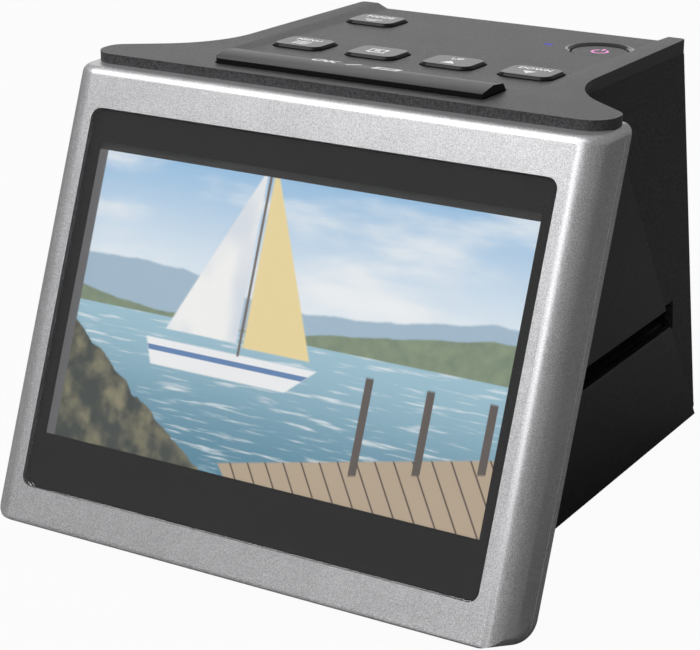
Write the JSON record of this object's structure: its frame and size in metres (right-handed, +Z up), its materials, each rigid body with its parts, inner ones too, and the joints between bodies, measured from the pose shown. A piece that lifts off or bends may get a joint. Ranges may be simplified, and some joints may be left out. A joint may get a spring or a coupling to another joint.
{
  "type": "film negative scanner with built-in screen",
  "caption": "Desktop film scanner with a leaning colour screen, film slot through both sides, key row with an OK bar and a round power key on a waisted top cover",
  "frame": {"origin": "on the table top, under the middle of the scanner's footprint", "axes": "+X to the right of someone facing the screen, +Y away from them towards the rear wall, +Z up"},
  "size_m": [0.129, 0.1395, 0.1054],
  "materials": {
    "bezel_silver": "satin silver paint on plastic",
    "lens_clear": "polished clear acrylic",
    "mask_black": "dark grey printing",
    "gasket_foam": "closed foam",
    "lcd_panel": "polished",
    "tray_steel": "bare pressed sheet",
    "holder_plastic": "moulded",
    "flex_amber": "film",
    "cover_grey": "fine moulded grain",
    "housing_black": "fine moulded grain",
    "panel_black": "smooth satin gloss",
    "foot_rubber": "matt",
    "key_gloss": "polished",
    "button_grey": "fine grain",
    "ring_gloss": "polished",
    "symbol_pink": "lit translucent",
    "light_blue": "lit translucent",
    "board_green": "solder resist",
    "board_white": "solder resist",
    "switch_black": "moulded",
    "chip_black": "moulded",
    "sensor_glass": "polished",
    "socket_steel": "plated shell",
    "guide_black": "moulded",
    "box_white": "moulded",
    "diffuser_white": "frosted",
    "led_yellow": "moulded",
    "barrel_black": "black anodised",
    "screw_steel": "plated"
  },
  "bodies": {
    "scanner": {"backlight_board": "board_white", "backlight_leds": "led_yellow", "backlight_screws": "screw_steel", "base_shell": "panel_black", "bezel_rear_frame": "bezel_silver", "bezel_screws": "screw_steel", "card_socket": "socket_steel", "case_screws": "screw_steel", "display_lens": "lens_clear", "film_guide_lower": "guide_black", "film_guide_upper": "guide_black", "frame_screws": "screw_steel", "front_bezel": "bezel_silver", "guide_screws": "screw_steel", "image_sensor": "sensor_glass", "interface_board": "board_green", "interface_screws": "screw_steel", "key_board": "board_green", "key_board_screws": "screw_steel", "key_switches": "switch_black", "lcd_flex": "flex_amber", "lcd_gasket": "gasket_foam", "lcd_glass": "lcd_panel", "lcd_holder": "holder_plastic", "lcd_holder_screws": "screw_steel", "lcd_tray": "tray_steel", "lens_barrel": "barrel_black", "lens_mask": "mask_black", "light_box": "box_white", "light_diffuser": "diffuser_white", "main_board": "board_green", "main_board_chips": "chip_black", "main_board_screws": "screw_steel", "optics_tower": "guide_black", "power_ring": "ring_gloss", "rear_housing": "housing_black", "rubber_feet": "foot_rubber", "sensor_board": "board_green", "sensor_screws": "screw_steel", "status_light": "light_blue", "top_cover": "cover_grey", "tower_screws": "screw_steel", "upper_side_panel_left": "panel_black", "upper_side_panel_right": "panel_black", "usb_socket": "socket_steel", "video_socket": "socket_steel"},
    "ok_bar_body": {"ok_bar": "key_gloss"},
    "left_key_body": {"left_key": "key_gloss"},
    "centre_key_body": {"centre_key": "key_gloss"},
    "up_key_body": {"up_key": "key_gloss"},
    "down_key_body": {"down_key": "key_gloss"},
    "rear_key_body": {"rear_key": "key_gloss"},
    "power_button_body": {"power_button": "button_grey", "power_symbol": "symbol_pink"}
  },
  "joints": [
    {"name": "ok_bar_press", "type": "slide", "parent": "scanner", "child": "ok_bar_body", "axis": [0, -0.0195, -0.9998], "range_m": [0, 0.0006], "stiffness_N_per_m": 600, "springref_m": -0.001},
    {"name": "left_key_press", "type": "slide", "parent": "scanner", "child": "left_key_body", "axis": [0, -0.0236, -0.9997], "range_m": [0, 0.0006], "stiffness_N_per_m": 600, "springref_m": -0.001},
    {"name": "centre_key_press", "type": "slide", "parent": "scanner", "child": "centre_key_body", "axis": [0, -0.0236, -0.9997], "range_m": [0, 0.0006], "stiffness_N_per_m": 600, "springref_m": -0.001},
    {"name": "up_key_press", "type": "slide", "parent": "scanner", "child": "up_key_body", "axis": [0, -0.0236, -0.9997], "range_m": [0, 0.0006], "stiffness_N_per_m": 600, "springref_m": -0.001},
    {"name": "down_key_press", "type": "slide", "parent": "scanner", "child": "down_key_body", "axis": [0, -0.0236, -0.9997], "range_m": [0, 0.0006], "stiffness_N_per_m": 600, "springref_m": -0.001},
    {"name": "rear_key_press", "type": "slide", "parent": "scanner", "child": "rear_key_body", "axis": [0, -0.0236, -0.9997], "range_m": [0, 0.0006], "stiffness_N_per_m": 600, "springref_m": -0.001},
    {"name": "power_button_press", "type": "slide", "parent": "scanner", "child": "power_button_body", "axis": [0, -0.0236, -0.9997], "range_m": [0, 0.0006], "stiffness_N_per_m": 600, "springref_m": -0.001}
  ]
}
